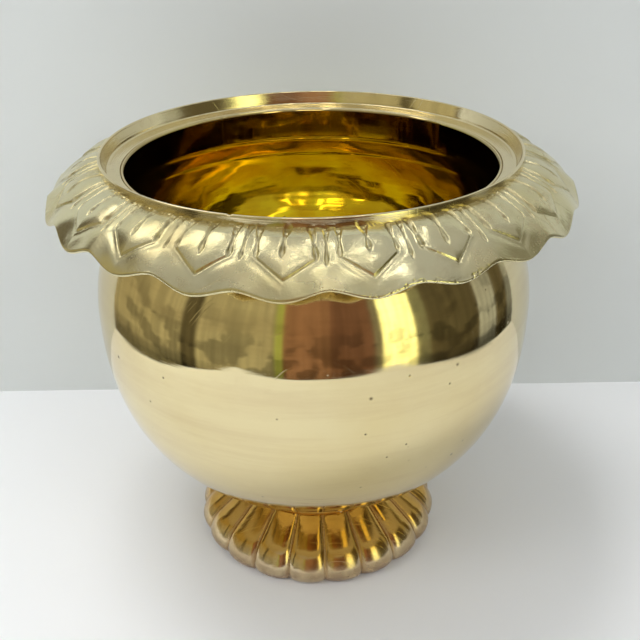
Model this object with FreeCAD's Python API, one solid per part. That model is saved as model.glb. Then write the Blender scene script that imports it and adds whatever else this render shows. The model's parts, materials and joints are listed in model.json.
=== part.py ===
"""Brass planter pot: a spun bowl with a cast scalloped collar around its mouth and a cast fluted foot.

Millimetres: +Z up, origin on the table at the centre of the foot.
The three brass pieces are joined by two rings of solder:
  bowl          spun sheet, one wall thickness throughout, with a short upright neck at the mouth
  collar        casting: a turned ledge and lip around the neck, and a skirt of drooping petals outside it
  foot          hollow casting with rounded lobes, a round neck on top that is cut to the bowl's underside
  collar_solder fillet under the ledge, around the bowl's neck
  foot_solder   fillet around the foot's neck, under the bowl
"""

import FreeCAD, Part
import math
import os

Vector = FreeCAD.Vector

# foot
LOBES = 20
FOOT_TOP_RADIUS = 42.4  # over the lobes, at their upper end
FOOT_TOP_Z = 29.5
FOOT_SPREAD = 21.7  # the lobes' widest place is this much further out
LOBE_EDGE_RADIUS = 8.0  # a lobe's crest starts at the sole as a tight arc,
LOBE_EDGE_TUCK = 61.0  # which starts this many degrees below its widest place
LOBE_EDGE_LEAN = 20.0  # and this many degrees above it runs on as a wider arc, up to a straight slope
LOBE_PROFILE_RADIUS = 20.0  # of that wider arc
FLUTE_SHARE = 0.14  # depth of the grooves between lobes, over a lobe's width
LOBE_FULLNESS = 0.4  # 0 is a plain rounded lobe, 1 is flat across with narrow grooves
LOBE_TURN = 5.4  # degrees from -Y to the nearest lobe's middle, towards -X
FOOT_WALL = 3.2
FOOT_NECK_STEP = 1.2  # the neck stands proud of the lobes' upper end, and starts this far below it
FOOT_NECK_HEIGHT = 9.9  # from the lobes' upper end to the bowl's underside
FOOT_NECK_WALL = 4.4

# bowl
BOWL_RADIUS = 105.0  # outside, at the widest place
BELLY_DEPTH = 104.6  # from the widest place down to the outside of the bottom
BELLY_POWER = 2.33  # 2 is an ellipse, more is squarer
SHOULDER_RISE = 92.0  # vertical half axis of the ellipse that the shoulder follows
SHOULDER_OVERHANG = 18.7  # the mouth's radius is this much less than the bowl's
NECK_COVE = 5.0  # radius between shoulder and neck
NECK_HEIGHT = 15.1
BOWL_WALL = 1.2

# collar, turned part
COLLAR_GAP = 0.15  # soldering gap between neck and ledge
LEDGE_WALL = 2.2  # thickness of the ledge at the bowl's neck
LEDGE_FALL = 0.7  # the ledge is this much lower at its inner edge
LEDGE_WIDTH = 7.2  # from the mouth's edge to the foot of the lip
LIP_HEIGHT = 6.4  # above the ledge's outer corner
LIP_SLANT = 2.1  # the lip's inner face leans outwards this far
LIP_WALL = 1.4  # thickness of the lip at its top
LIP_OUTSIDE = 3.8  # height of the lip's outer face above the skirt

# collar, petals
PETALS = 22
PETAL_TURN = 5.2  # degrees from -Y to the nearest petal's middle, towards -X
TIP_REACH = 26.0  # from the lip's outside to a petal's tip
TIP_DROP = 17.0  # from the skirt's root down to a petal's tip
NOTCH_REACH = 24.0  # to where two petals meet
NOTCH_DROP = 12.4
PETAL_CROWN = 3.4  # a petal's middle line rises this much over its chord
NOTCH_CROWN = 1.8
SKIRT_WALL = 2.4
EDGE_WALL = 1.9

# solder
SOLDER_LEG = 2.4

FOOT_RADIUS = FOOT_TOP_RADIUS + FOOT_SPREAD
EDGE_CENTRE_R = FOOT_RADIUS - LOBE_EDGE_RADIUS
EDGE_CENTRE_Z = LOBE_EDGE_RADIUS * math.sin(math.radians(LOBE_EDGE_TUCK))
CENTRE_SHIFT = LOBE_PROFILE_RADIUS - LOBE_EDGE_RADIUS
PROFILE_CENTRE_R = EDGE_CENTRE_R - CENTRE_SHIFT * math.cos(math.radians(LOBE_EDGE_LEAN))
PROFILE_CENTRE_Z = EDGE_CENTRE_Z - CENTRE_SHIFT * math.sin(math.radians(LOBE_EDGE_LEAN))
FOOT_NECK_RADIUS = FOOT_TOP_RADIUS + FOOT_NECK_STEP
MOUTH_RADIUS = BOWL_RADIUS - SHOULDER_OVERHANG
NECK_RADIUS = MOUTH_RADIUS + BOWL_WALL


def depth_under_belly(r):
    """How far the bowl's underside lies under its widest place at a radius."""
    return BELLY_DEPTH * (1 - (r / BOWL_RADIUS) ** BELLY_POWER) ** (1 / BELLY_POWER)


def shoulder_lean(angle):
    """The shoulder's outward normal, (radial, upward), from the widest place (0) upwards."""
    normal_r = math.cos(angle) / BOWL_RADIUS
    normal_z = math.sin(angle) / SHOULDER_RISE
    size = math.hypot(normal_r, normal_z)
    return normal_r / size, normal_z / size


def find_shoulder_end():
    """The angle where the shoulder touches the cove that turns it up into the neck."""
    low, high = 0.0, math.pi / 2
    for _ in range(60):
        middle = (low + high) / 2
        if BOWL_RADIUS * math.cos(middle) + NECK_COVE * shoulder_lean(middle)[0] > NECK_RADIUS + NECK_COVE:
            low = middle
        else:
            high = middle
    return low


SHOULDER_END = find_shoulder_end()
BOWL_SEAT_Z = FOOT_TOP_Z + FOOT_NECK_HEIGHT
BELLY_Z = BOWL_SEAT_Z + depth_under_belly(FOOT_NECK_RADIUS)
NECK_Z = BELLY_Z + SHOULDER_RISE * math.sin(SHOULDER_END) + NECK_COVE * shoulder_lean(SHOULDER_END)[1]
MOUTH_Z = NECK_Z + NECK_HEIGHT
LEDGE_CORNER_RADIUS = MOUTH_RADIUS + LEDGE_WIDTH
LEDGE_CORNER_Z = MOUTH_Z + LEDGE_FALL
LEDGE_UNDER_Z = MOUTH_Z - LEDGE_WALL
COLLAR_BORE = NECK_RADIUS + COLLAR_GAP
LIP_TOP_Z = LEDGE_CORNER_Z + LIP_HEIGHT
LIP_RADIUS = LEDGE_CORNER_RADIUS + LIP_SLANT + LIP_WALL
SKIRT_ROOT_Z = LIP_TOP_Z - LIP_OUTSIDE


def point(r, z):
    """A point of an outline, in the half plane y = 0."""
    return Vector(r, 0, z)


def line(*points):
    return [Part.LineSegment(a, b).toShape() for a, b in zip(points, points[1:])]


def arc(start, middle, end):
    return [Part.Arc(start, middle, end).toShape()]


def curve(points, start_tangent, end_tangent):
    """One smooth curve through points of an outline."""
    spline = Part.BSplineCurve()
    spline.interpolate(Points=points, InitialTangent=start_tangent, FinalTangent=end_tangent)
    return [spline.toShape()]


def turned(edges):
    """The solid that a closed outline sweeps around the Z axis."""
    face = Part.Face(Part.Wire(Part.__sortEdges__(edges)))
    solid = face.revolve(Vector(0, 0, 0), Vector(0, 0, 1), 360)
    return solid if solid.ShapeType == "Solid" else solid.Solids[0]


def sewn(faces):
    """A solid from faces that share their edges."""
    shell = Part.makeCompound(faces)
    shell.sewShape(0.005)
    solid = Part.Solid(shell.Shells[0] if shell.ShapeType == "Compound" else shell)
    if solid.Volume < 0:
        solid.reverse()
    return solid


# ---- bowl ----


def belly(angle, inset):
    """A point of the belly, from the bottom (0) to the widest place (pi/2), moved in by inset."""
    across = math.sin(angle) ** (2 / BELLY_POWER)
    down = math.cos(angle) ** (2 / BELLY_POWER)
    normal_r = across ** (BELLY_POWER - 1) / BOWL_RADIUS
    normal_z = -(down ** (BELLY_POWER - 1)) / BELLY_DEPTH
    size = math.hypot(normal_r, normal_z)
    r = BOWL_RADIUS * across - inset * normal_r / size
    z = BELLY_Z - BELLY_DEPTH * down - inset * normal_z / size
    return r, z


def shoulder(angle, inset):
    """A point of the shoulder, from the widest place (0) upwards, moved in by inset."""
    normal_r, normal_z = shoulder_lean(angle)
    r = BOWL_RADIUS * math.cos(angle) - inset * normal_r
    return r, BELLY_Z + SHOULDER_RISE * math.sin(angle) - inset * normal_z


def bowl_side(inset):
    """The bowl's outline from the axis at the bottom to the top of the neck, moved in by inset."""
    belly_steps, shoulder_steps = 14, 7
    places = [belly(math.pi / 2 * i / belly_steps, inset) for i in range(belly_steps)]
    places += [shoulder(SHOULDER_END * i / shoulder_steps, inset) for i in range(shoulder_steps + 1)]
    normal_r, normal_z = shoulder_lean(SHOULDER_END)
    side = curve([point(r, z) for r, z in places], Vector(1, 0, 0), Vector(-normal_z, 0, normal_r))

    cove = NECK_COVE + inset
    lean = math.atan2(normal_z, normal_r) / 2
    middle = point(NECK_RADIUS + NECK_COVE - cove * math.cos(lean), NECK_Z - cove * math.sin(lean))
    neck_start = point(NECK_RADIUS - inset, NECK_Z)
    side += arc(point(*places[-1]), middle, neck_start)
    side += line(neck_start, point(NECK_RADIUS - inset, MOUTH_Z))
    return side


def bowl_outside():
    """The bowl filled in, to cut what seats against its outside."""
    top = [point(NECK_RADIUS, MOUTH_Z), point(0, MOUTH_Z), point(0, BELLY_Z - BELLY_DEPTH)]
    return turned(bowl_side(0) + line(*top))


def bowl():
    bottom_z = BELLY_Z - BELLY_DEPTH
    edges = bowl_side(0) + bowl_side(BOWL_WALL)
    edges += line(point(NECK_RADIUS, MOUTH_Z), point(MOUTH_RADIUS, MOUTH_Z))
    edges += line(point(0, bottom_z), point(0, bottom_z + BOWL_WALL))
    return turned(edges)


# ---- collar ----


def collar_ring():
    """The turned part of the collar: ledge, lip, and the root that the skirt grows from."""
    lip_inner = LIP_RADIUS - LIP_WALL
    round_top = LIP_WALL / 2
    root_r = LIP_RADIUS + 0.6
    edges = line(
        point(LIP_RADIUS, LIP_TOP_Z - round_top),
        point(LIP_RADIUS, SKIRT_ROOT_Z - 1.0),
        point(root_r, SKIRT_ROOT_Z - SKIRT_WALL),
        point(LEDGE_CORNER_RADIUS, LEDGE_UNDER_Z),
        point(COLLAR_BORE, LEDGE_UNDER_Z),
        point(COLLAR_BORE, MOUTH_Z),
        point(LEDGE_CORNER_RADIUS, LEDGE_CORNER_Z),
        point(lip_inner, LIP_TOP_Z - round_top),
    )
    edges += arc(
        point(lip_inner, LIP_TOP_Z - round_top),
        point(LIP_RADIUS - round_top, LIP_TOP_Z),
        point(LIP_RADIUS, LIP_TOP_Z - round_top),
    )
    return turned(edges)


def skirt_outline(share):
    """The closed outline of the skirt where a share of 1 is a petal's middle and 0 a notch."""
    root_r = LIP_RADIUS - LIP_WALL
    root_z = SKIRT_ROOT_Z + 0.5
    run = LIP_WALL + NOTCH_REACH + (TIP_REACH - NOTCH_REACH) * share
    drop = NOTCH_DROP + (TIP_DROP - NOTCH_DROP) * share + root_z - SKIRT_ROOT_Z
    crown = NOTCH_CROWN + (PETAL_CROWN - NOTCH_CROWN) * share
    top, under = [], []
    for s in (0.0, 0.2, 0.4, 0.6, 0.8, 0.94):
        slope = math.atan2(drop - crown * 4 * (1 - 2 * s), run)
        half = (SKIRT_WALL + (EDGE_WALL - SKIRT_WALL) * s) / 2
        r = root_r + (run - EDGE_WALL / 2) * s
        z = root_z - drop * s + crown * 4 * s * (1 - s) - half
        top.append((r + half * math.sin(slope), z + half * math.cos(slope)))
        under.append((r - half * math.sin(slope), z - half * math.cos(slope)))
    edge = (root_r + run, root_z - drop)
    return top + [edge] + under[::-1]


def poles_through(points):
    """Poles of the cubic surface, closed both ways, that passes through a grid of points."""
    rows, columns = len(points), len(points[0])
    poles = [list(row) for row in points]
    for _ in range(40):
        along = [[(poles[i - 1][j] + poles[i][j] * 4 + poles[(i + 1) % rows][j]) * (1 / 6)
                  for j in range(columns)] for i in range(rows)]
        for i in range(rows):
            for j in range(columns):
                reached = (along[i][j - 1] + along[i][j] * 4 + along[i][(j + 1) % columns]) * (1 / 6)
                poles[i][j] = poles[i][j] + (points[i][j] - reached)
    return poles


def skirt():
    """The skirt as one smooth closed surface that repeats with each petal."""
    per_petal = 8
    steps = PETALS * per_petal
    points = []
    for i in range(steps):
        share = 0.5 + 0.5 * math.cos(2 * math.pi * i / per_petal)
        angle = math.radians(-90 - PETAL_TURN) + 2 * math.pi * i / steps
        outline = skirt_outline(share)
        points.append([Vector(r * math.cos(angle), r * math.sin(angle), z) for r, z in outline])
    around = len(points[0])
    surface = Part.BSplineSurface()
    surface.buildFromPolesMultsKnots(
        poles_through(points),
        [1] * (steps + 1),
        [1] * (around + 1),
        [float(i) for i in range(steps + 1)],
        [float(i) for i in range(around + 1)],
        True,
        True,
        3,
        3,
    )
    solid = Part.Solid(Part.Shell([surface.toShape()]))
    if solid.Volume < 0:
        solid.reverse()
    return solid


def collar():
    return collar_ring().fuse(skirt())


# ---- foot ----


def slope_angle():
    """Lean of the lobes' straight slope: the wider arc's angle where a line from the top end touches it."""
    run = FOOT_TOP_RADIUS - PROFILE_CENTRE_R
    rise = FOOT_TOP_Z - PROFILE_CENTRE_Z
    return math.atan2(rise, run) - math.acos(LOBE_PROFILE_RADIUS / math.hypot(run, rise))


def lobe_crest(step):
    """A point of a lobe's crest and its lean, from the sole (0) to the top (1) along the crest."""
    tuck = math.radians(LOBE_EDGE_TUCK)
    lean = math.radians(LOBE_EDGE_LEAN)
    end = slope_angle()
    slope_r = PROFILE_CENTRE_R + LOBE_PROFILE_RADIUS * math.cos(end)
    slope_z = PROFILE_CENTRE_Z + LOBE_PROFILE_RADIUS * math.sin(end)
    edge_length = LOBE_EDGE_RADIUS * (tuck + lean)
    profile_length = LOBE_PROFILE_RADIUS * (end - lean)
    slope_length = math.hypot(slope_r - FOOT_TOP_RADIUS, FOOT_TOP_Z - slope_z)
    reached = step * (edge_length + profile_length + slope_length)
    if reached < edge_length:
        angle = reached / LOBE_EDGE_RADIUS - tuck
        r = EDGE_CENTRE_R + LOBE_EDGE_RADIUS * math.cos(angle)
        return r, EDGE_CENTRE_Z + LOBE_EDGE_RADIUS * math.sin(angle), angle
    reached -= edge_length
    if reached < profile_length:
        angle = lean + reached / LOBE_PROFILE_RADIUS
        r = PROFILE_CENTRE_R + LOBE_PROFILE_RADIUS * math.cos(angle)
        return r, PROFILE_CENTRE_Z + LOBE_PROFILE_RADIUS * math.sin(angle), angle
    share = (reached - profile_length) / slope_length
    return slope_r + (FOOT_TOP_RADIUS - slope_r) * share, slope_z + (FOOT_TOP_Z - slope_z) * share, end


def groove_depth(r):
    """How deep the grooves between lobes are where the crests have a radius."""
    return FLUTE_SHARE * 2 * math.pi * r / LOBES


def lobe(turn):
    """The outside of one lobe, a patch between the two grooves beside it."""
    rows, columns = 18, 13
    grid = []
    for i in range(rows + 1):
        crest_r, crest_z, lean = lobe_crest(i / rows)
        lean = 0.0 if i == rows else max(lean, 0.0)
        row = []
        for j in range(columns):
            across = 2 * j / (columns - 1) - 1
            fall = (1 - LOBE_FULLNESS) * across**2 + LOBE_FULLNESS * across**6
            sunk = groove_depth(crest_r) * fall
            r = crest_r - sunk * math.cos(lean)
            z = crest_z - sunk * math.sin(lean)
            angle = turn + across * math.pi / LOBES
            row.append(Vector(r * math.cos(angle), r * math.sin(angle), z))
        grid.append(row)
    surface = Part.BSplineSurface()
    surface.interpolate(grid)
    return surface.toShape()


def level_edges(faces, z):
    """The edges of faces that lie at height z."""
    edges = [edge for face in faces for edge in face.Edges]
    return [e for e in edges if all(abs(v.z - z) < 1e-4 for v in e.discretize(5))]


def foot():
    first = math.radians(-90 - LOBE_TURN)
    patches = [lobe(first + 2 * math.pi * i / LOBES) for i in range(LOBES)]
    ends = [Part.Face(Part.Wire(Part.__sortEdges__(level_edges(patches, z)))) for z in (0.0, FOOT_TOP_Z)]
    body = sewn(patches + ends)
    neck_z = FOOT_TOP_Z - FOOT_NECK_STEP
    neck = Part.makeCylinder(FOOT_NECK_RADIUS, BELLY_Z - neck_z, Vector(0, 0, neck_z))
    return body.fuse(neck).cut(foot_hollow()).cut(bowl_outside())


def foot_hollow():
    """The open inside of the foot: up from the sole, in along the slope, and round up to the bowl."""
    bore = FOOT_NECK_RADIUS - FOOT_NECK_WALL
    sole_r = lobe_crest(0)[0]
    inside_r = sole_r - groove_depth(sole_r) - FOOT_WALL
    lean = slope_angle()
    reach = LOBE_PROFILE_RADIUS - groove_depth(FOOT_RADIUS) - FOOT_WALL
    slope_r = PROFILE_CENTRE_R + reach * math.cos(lean)
    slope_z = PROFILE_CENTRE_Z + reach * math.sin(lean)

    def on_slope(r):
        return point(r, slope_z + (slope_r - r) / math.tan(lean))

    return turned(
        line(
            point(0, 0),
            point(inside_r, 0),
            on_slope(inside_r),
            on_slope(bore),
            point(bore, BELLY_Z),
            point(0, BELLY_Z),
            point(0, 0),
        )
    )


# ---- solder ----


def collar_solder():
    corner = point(NECK_RADIUS, LEDGE_UNDER_Z)
    out = point(NECK_RADIUS + SOLDER_LEG, LEDGE_UNDER_Z)
    down = point(NECK_RADIUS, LEDGE_UNDER_Z - SOLDER_LEG)
    return turned(line(down, corner, out, down))


def foot_solder():
    """A ring in the corner between the foot's neck and the bowl, filling it up to both."""
    top = point(FOOT_NECK_RADIUS, BOWL_SEAT_Z + SOLDER_LEG)
    out = point(FOOT_NECK_RADIUS + SOLDER_LEG, BOWL_SEAT_Z + SOLDER_LEG)
    down = point(FOOT_NECK_RADIUS, BOWL_SEAT_Z - SOLDER_LEG)
    hollow = point(FOOT_NECK_RADIUS + SOLDER_LEG * 0.35, BOWL_SEAT_Z - SOLDER_LEG * 0.2)
    return turned(line(down, top, out) + arc(out, hollow, down)).cut(bowl_outside())


def main():
    os.makedirs("parts", exist_ok=True)
    pieces = {
        "bowl": bowl(),
        "collar": collar(),
        "foot": foot(),
        "collar_solder": collar_solder(),
        "foot_solder": foot_solder(),
    }
    for name, shape in pieces.items():
        solids = shape.Solids
        shape = solids[0] if len(solids) == 1 else shape
        box = shape.BoundBox
        size = f"{box.XLength:.1f} x {box.YLength:.1f} x {box.ZLength:.1f}"
        state = "valid" if shape.isValid() else "INVALID"
        print(name, len(solids), "solid", state, size, round(shape.Volume))
        shape.exportStep(f"parts/{name}.step")


main()
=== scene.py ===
import json
import math

import bpy
import numpy as np
from mathutils import Matrix, Vector


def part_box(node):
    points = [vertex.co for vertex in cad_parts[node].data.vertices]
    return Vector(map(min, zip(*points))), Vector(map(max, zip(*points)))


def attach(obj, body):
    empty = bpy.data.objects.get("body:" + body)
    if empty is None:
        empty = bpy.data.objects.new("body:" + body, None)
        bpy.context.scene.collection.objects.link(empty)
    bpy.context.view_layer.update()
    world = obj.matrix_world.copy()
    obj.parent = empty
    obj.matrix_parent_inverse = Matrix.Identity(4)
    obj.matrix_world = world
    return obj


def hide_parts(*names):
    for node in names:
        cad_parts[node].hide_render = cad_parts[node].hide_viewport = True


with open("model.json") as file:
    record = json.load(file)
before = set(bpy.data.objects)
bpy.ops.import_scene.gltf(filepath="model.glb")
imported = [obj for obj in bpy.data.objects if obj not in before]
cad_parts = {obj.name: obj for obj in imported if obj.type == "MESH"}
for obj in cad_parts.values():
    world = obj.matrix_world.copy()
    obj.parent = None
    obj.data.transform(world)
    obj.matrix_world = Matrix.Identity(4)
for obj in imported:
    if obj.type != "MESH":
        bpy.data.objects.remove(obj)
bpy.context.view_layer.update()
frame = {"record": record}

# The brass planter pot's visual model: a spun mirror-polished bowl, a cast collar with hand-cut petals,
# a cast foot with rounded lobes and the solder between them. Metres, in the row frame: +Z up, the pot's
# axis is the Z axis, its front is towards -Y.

# ---- sizes, as in the CAD model ----
MM = 0.001
BOWL_RADIUS = 105.0 * MM
BELLY_Z = 138.0 * MM
BELLY_DEPTH = 104.6 * MM
BELLY_POWER = 2.33
SHOULDER_RISE = 92.0 * MM
BOWL_WALL = 1.2 * MM
MOUTH_RADIUS = frame["record"]["mounts"][1]["dims"]["r_mm"] * MM
MOUTH_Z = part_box("bowl")[1][2]
NECK_COVE = 5.0 * MM
EDGE_ROUND = 0.4 * MM  # height of the rounding on the neck's upper edge
NECK_RADIUS = MOUTH_RADIUS + BOWL_WALL

LEDGE_WIDTH = 7.2 * MM
LEDGE_WALL = 2.2 * MM
LEDGE_FALL = 0.7 * MM
LIP_TOP_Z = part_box("collar")[1][2]
LIP_SLANT = 2.1 * MM
LIP_WALL = 1.4 * MM
LIP_OUTSIDE = 3.8 * MM
LEDGE_CORNER_RADIUS = MOUTH_RADIUS + LEDGE_WIDTH
LIP_RADIUS = LEDGE_CORNER_RADIUS + LIP_SLANT + LIP_WALL
SKIRT_ROOT_Z = LIP_TOP_Z - LIP_OUTSIDE

PETALS = 22
TIP_RADIUS = 123.0 * MM
TIP_DROP = 17.0 * MM
NOTCH_RADIUS = 121.0 * MM
NOTCH_DROP = 12.4 * MM
PETAL_CROWN = 3.4 * MM
NOTCH_CROWN = 1.8 * MM
SKIRT_WALL = 2.4 * MM
EDGE_WALL = 1.9 * MM
FIRST_PETAL = math.radians(-95.2)

LOBES = 20
FOOT_RADIUS = 64.1 * MM
LOBE_EDGE_RADIUS = 8.0 * MM
LOBE_EDGE_TUCK = math.radians(61)
LOBE_EDGE_LEAN = math.radians(20)
LOBE_PROFILE_RADIUS = 20.0 * MM
FOOT_TOP_RADIUS = 42.4 * MM
FOOT_TOP_Z = 29.5 * MM
FLUTE_SHARE = 0.14
LOBE_FULLNESS = 0.4
FOOT_WALL = 3.2 * MM
FOOT_NECK_RADIUS = 43.6 * MM
FOOT_NECK_WALL = 4.4 * MM
FIRST_LOBE = math.radians(-95.4)


# ---- mesh helpers ----
def ripples(points, wavelength, seed, waves=24):
    """A smooth random field of about -1 to 1 over points, made of plane waves in random directions."""
    random = np.random.default_rng(seed)
    total = np.zeros(points.shape[:-1])
    for _ in range(waves):
        direction = random.normal(size=3)
        direction /= np.linalg.norm(direction)
        length = wavelength * random.uniform(0.7, 1.6)
        total += np.sin(points @ direction * (2 * math.pi / length) + random.uniform(0, 2 * math.pi))
    return total / math.sqrt(waves)


def around(radius, height, angle):
    """Points of rows of (radius, height) at each angle."""
    return np.stack([radius * np.cos(angle), radius * np.sin(angle), height + 0 * angle], axis=-1)


def closed_grid(name, points, material, marks=None):
    """A mesh closed both ways from a grid of points, rows by columns, with an optional value per point."""
    rows, columns = points.shape[:2]
    index = np.arange(rows * columns).reshape(rows, columns)
    right = np.roll(index, -1, axis=1)
    faces = np.stack([index, right, np.roll(right, -1, axis=0), np.roll(index, -1, axis=0)], axis=-1)
    flat = points.reshape(-1, 3)
    quads = flat[faces.reshape(-1, 4)]
    normals = np.cross(quads[:, 2] - quads[:, 0], quads[:, 3] - quads[:, 1])
    if (quads[:, 0] * normals).sum() < 0:
        faces = faces[..., ::-1]
    mesh = bpy.data.meshes.new(name)
    mesh.from_pydata(flat.tolist(), [], faces.reshape(-1, 4).tolist())
    if marks is not None:
        layer = mesh.attributes.new("mark", "FLOAT", "POINT")
        layer.data.foreach_set("value", marks.reshape(-1).astype(np.float32))
    mesh.polygons.foreach_set("use_smooth", np.ones(len(mesh.polygons), dtype=bool))
    mesh.materials.append(material)
    piece = bpy.data.objects.new(name, mesh)
    bpy.context.collection.objects.link(piece)
    return piece


def turned(name, outline, columns, material, change=None, marks=None):
    """A turned piece from a closed outline of (radius, height), with an optional change and row marks."""
    angle = np.arange(columns) * 2 * math.pi / columns
    outline = np.array(outline)
    points = around(outline[:, :1], outline[:, 1:], angle[None, :])
    if change is not None:
        points = change(points)
    if marks is not None:
        marks = np.repeat(np.array(marks, dtype=float)[:, None], columns, axis=1)
    return closed_grid(name, points, material, marks)


def arc(centre, radius, start, end, steps):
    """Points of an arc in an outline, angles in degrees."""
    angles = np.radians(np.linspace(start, end, steps))
    return [(centre[0] + radius * math.cos(a), centre[1] + radius * math.sin(a)) for a in angles]


def run(start, end, steps):
    """Evenly spaced points of a straight stretch, without its end."""
    return [(start[0] + (end[0] - start[0]) * i / steps, start[1] + (end[1] - start[1]) * i / steps)
            for i in range(steps)]


# ---- bowl ----
def bowl_side(inset):
    """The bowl's outline from the bottom to the top of the neck, moved in by inset."""
    bottom = np.linspace(0.0001, 1, 150) ** 1.15 * math.pi / 2
    across = np.sin(bottom) ** (2 / BELLY_POWER)
    down = np.cos(bottom) ** (2 / BELLY_POWER)
    lean = np.stack([across ** (BELLY_POWER - 1) / BOWL_RADIUS, -(down ** (BELLY_POWER - 1)) / BELLY_DEPTH], -1)
    lean /= np.linalg.norm(lean, axis=1)[:, None]
    belly = np.stack([BOWL_RADIUS * across, BELLY_Z - BELLY_DEPTH * down], -1) - inset * lean

    low, high = 0.0, math.pi / 2
    for _ in range(60):
        end = (low + high) / 2
        tilt = math.atan2(math.sin(end) / SHOULDER_RISE, math.cos(end) / BOWL_RADIUS)
        if BOWL_RADIUS * math.cos(end) + NECK_COVE * math.cos(tilt) > NECK_RADIUS + NECK_COVE:
            low = end
        else:
            high = end
    up = np.linspace(0, end, 70)[1:]
    lean = np.stack([np.cos(up) / BOWL_RADIUS, np.sin(up) / SHOULDER_RISE], -1)
    lean /= np.linalg.norm(lean, axis=1)[:, None]
    shoulder = np.stack([BOWL_RADIUS * np.cos(up), BELLY_Z + SHOULDER_RISE * np.sin(up)], -1) - inset * lean

    cove = NECK_COVE + inset
    centre = shoulder[-1] + cove * lean[-1]
    turn = arc(centre, cove, 180 + math.degrees(tilt), 180, 10)[1:]
    neck = run((NECK_RADIUS - inset, centre[1]), (NECK_RADIUS - inset, MOUTH_Z - EDGE_ROUND), 14)[1:]
    return [tuple(p) for p in belly] + [tuple(p) for p in shoulder] + turn + neck


def spun(points):
    """What spinning and handling leave on the sheet: faint rings and shallow dents."""
    radius = np.linalg.norm(points[..., :2], axis=-1, keepdims=True)
    outward = points.copy()
    outward[..., 2] = (points[..., 2] - BELLY_Z) * 0.9
    outward /= np.linalg.norm(outward, axis=-1, keepdims=True)
    dents = 0.045 * MM * ripples(points, 0.075, 3) + 0.012 * MM * ripples(points, 0.022, 4)
    rings = 0.006 * MM * np.sin(points[..., 2] * (2 * math.pi / (4.3 * MM)))
    calm = np.clip(radius[..., 0] / (30 * MM), 0, 1)
    return points + outward * ((dents + rings) * calm)[..., None]


def step_inside(outline):
    """The inside's outline with the low step that the spinning tool left under the shoulder."""
    step_z, step_height, step_width = 178 * MM, 0.35 * MM, 1.2 * MM
    shoulder_end = MOUTH_Z - 16 * MM
    changed = []
    for r, z in outline:
        share = min(max((z - step_z) / step_width + 0.5, 0), 1)
        changed.append((r + step_height * share * share * (3 - 2 * share) * (z < shoulder_end), z))
    return changed


def bowl(material):
    outside = bowl_side(0)
    inside = step_inside(bowl_side(BOWL_WALL))
    half = BOWL_WALL / 2
    edge_z = MOUTH_Z - EDGE_ROUND
    edge = [(r, edge_z + z * 0.66) for r, z in arc((NECK_RADIUS - half, 0), half, 0, 180, 9)]
    outline = outside + edge + inside[::-1]
    marks = [0] * (len(outside) + len(edge)) + [1] * len(inside)
    return turned("bowl_shell", outline, 384, material, spun, marks)


# ---- collar ----
def rim_outline():
    """Outline of the collar's turned part: lip, ledge and the root of the skirt."""
    ledge_corner = (LEDGE_CORNER_RADIUS, MOUTH_Z + LEDGE_FALL)
    lip_inner = LIP_RADIUS - LIP_WALL
    half = LIP_WALL / 2
    top = LIP_TOP_Z - half
    bore = NECK_RADIUS + 0.15 * MM
    under = MOUTH_Z - LEDGE_WALL
    cove = 0.9 * MM
    outline = run((LIP_RADIUS, SKIRT_ROOT_Z - 1.0 * MM), (LIP_RADIUS, top), 12)
    outline += arc((LIP_RADIUS - half, top), half, 0, 180, 12)
    outline += run((lip_inner, top), (LEDGE_CORNER_RADIUS + cove * 0.3, ledge_corner[1] + cove), 14)[1:]
    outline += arc((LEDGE_CORNER_RADIUS - cove * 0.6, ledge_corner[1] + cove), cove, -15, -85, 6)
    outline += run((LEDGE_CORNER_RADIUS - cove, ledge_corner[1] - 0.1 * MM), (bore + 0.4 * MM, MOUTH_Z), 22)[1:]
    outline += arc((bore + 0.4 * MM, MOUTH_Z - 0.4 * MM), 0.4 * MM, 90, 180, 5)
    outline += run((bore, MOUTH_Z - 0.8 * MM), (bore, under), 3)
    outline += run((bore, under), (LEDGE_CORNER_RADIUS, under), 6)
    outline += run((LEDGE_CORNER_RADIUS, under), (LIP_RADIUS + 0.4 * MM, SKIRT_ROOT_Z - SKIRT_WALL), 4)
    return outline + [(LIP_RADIUS + 0.2 * MM, SKIRT_ROOT_Z - 1.8 * MM)]


def rim_wear(points):
    """Turning rings on the ledge, a nick in the lip's front, small chips at the mouth and a faint waviness."""
    radius = np.linalg.norm(points[..., :2], axis=-1)
    angle = np.arctan2(points[..., 1], points[..., 0])
    height = points[..., 2]
    change = np.zeros_like(radius)
    on_ledge = (radius < LEDGE_CORNER_RADIUS - 1 * MM) & (height > MOUTH_Z - 0.1 * MM)
    change += on_ledge * 0.018 * MM * np.sin(radius * (2 * math.pi / (0.85 * MM)))
    nick_angle = math.radians(-108.5)
    nick = np.exp(-(((angle - nick_angle) * LIP_RADIUS / (0.7 * MM)) ** 2))
    change -= nick * 0.55 * MM * np.clip((height - LIP_TOP_Z + 1.0 * MM) / (0.8 * MM), 0, 1)
    chips = np.clip(ripples(points, 1.6 * MM, 9, 40) - 0.55, 0, 1)
    near_mouth = np.exp(-(((radius - NECK_RADIUS) / (0.7 * MM)) ** 2)) * np.exp(-(((angle - 0.12) / 0.32) ** 2))
    change -= chips * near_mouth * 0.5 * MM
    change += 0.03 * MM * ripples(points, 0.045, 12)
    moved = points.copy()
    moved[..., 2] += change
    return moved


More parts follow.
